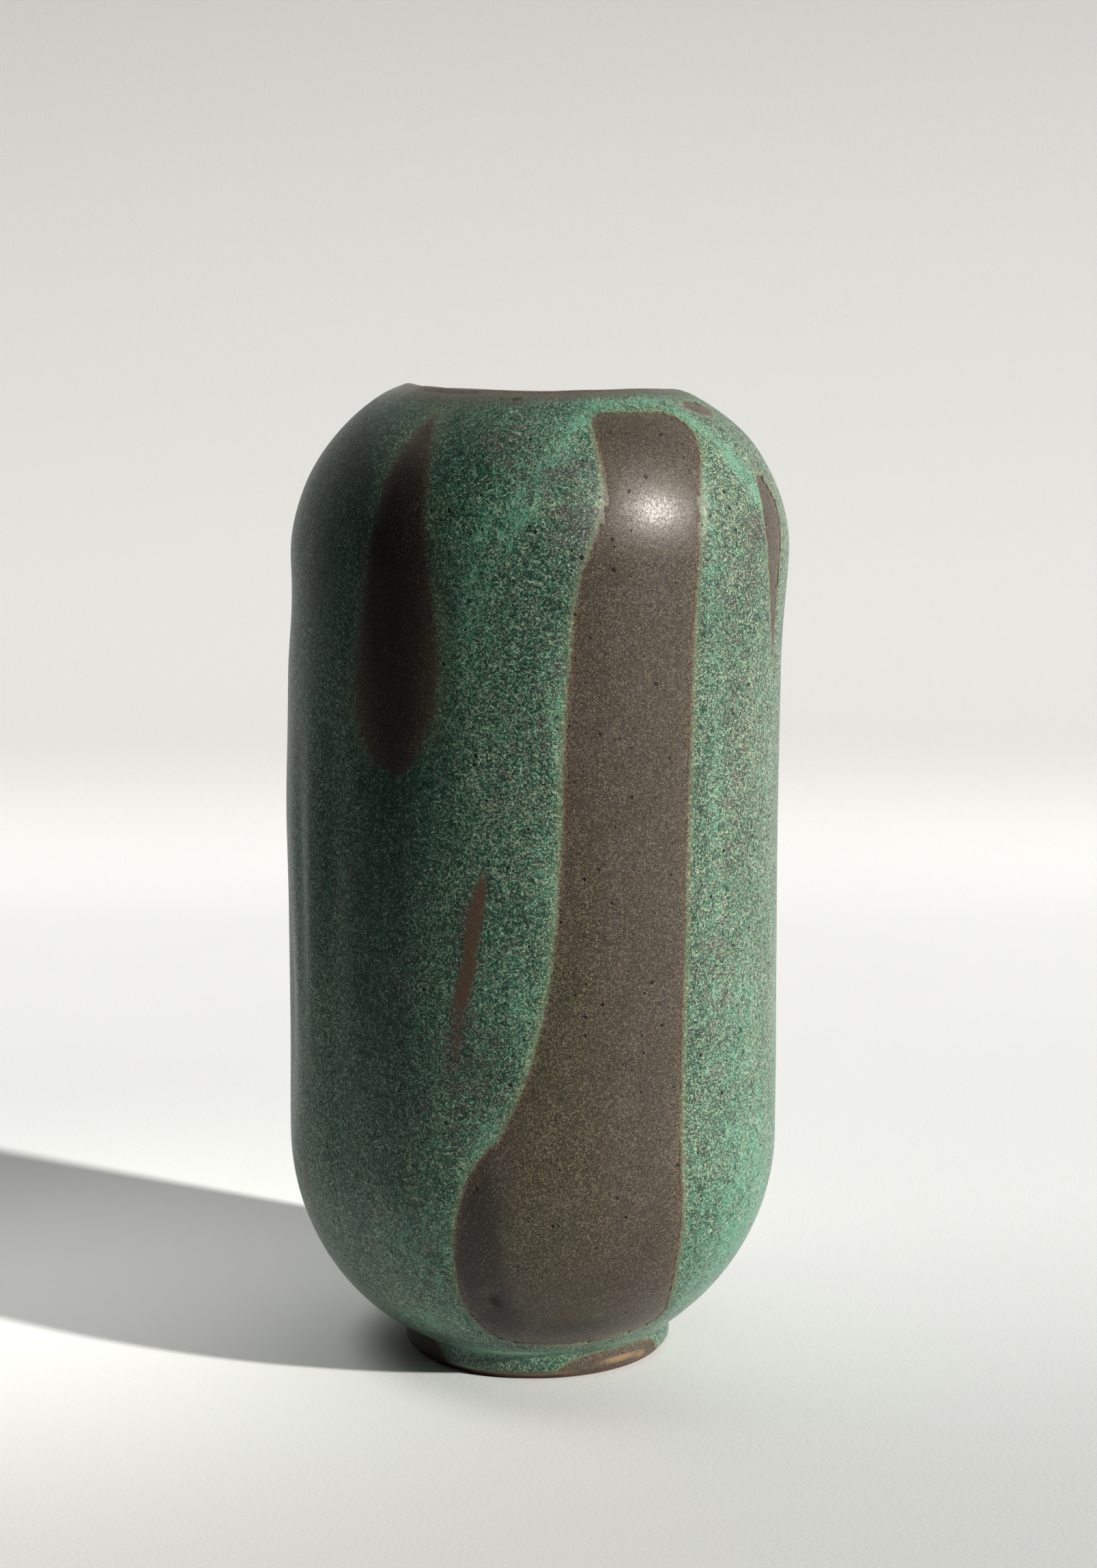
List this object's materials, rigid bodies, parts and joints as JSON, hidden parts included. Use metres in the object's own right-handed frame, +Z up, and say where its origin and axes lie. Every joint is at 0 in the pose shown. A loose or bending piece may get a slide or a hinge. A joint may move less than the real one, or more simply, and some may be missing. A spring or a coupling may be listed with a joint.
{
  "type": "stoneware vase",
  "caption": "Thrown stoneware vase with a rounded shoulder, open mouth and low foot ring, copper green glaze over iron brown, for holding stems or for display.",
  "frame": {"origin": "centre of the flat standing ring, on the surface that the vase rests on", "axes": "+Z up along the throwing axis, towards the mouth; -Y is the front, where the large opening in the green glaze is"},
  "size_m": [0.1212, 0.1212, 0.2388],
  "materials": {
    "stoneware_clay": "matt fired stoneware clay",
    "foot_clay": "matt fired clay, worn smooth on the standing ring",
    "iron_brown_glaze": "satin iron brown glaze with fine gold-tan crystals",
    "copper_green_glaze": "satin copper green glaze, finely mottled, with pinholes",
    "liner_glaze": "smooth satin brown liner glaze"
  },
  "bodies": {
    "root": {"body": "stoneware_clay", "foot_ring": "foot_clay", "iron_glaze": "iron_brown_glaze", "green_glaze": "copper_green_glaze", "liner_glaze": "liner_glaze"}
  },
  "joints": []
}
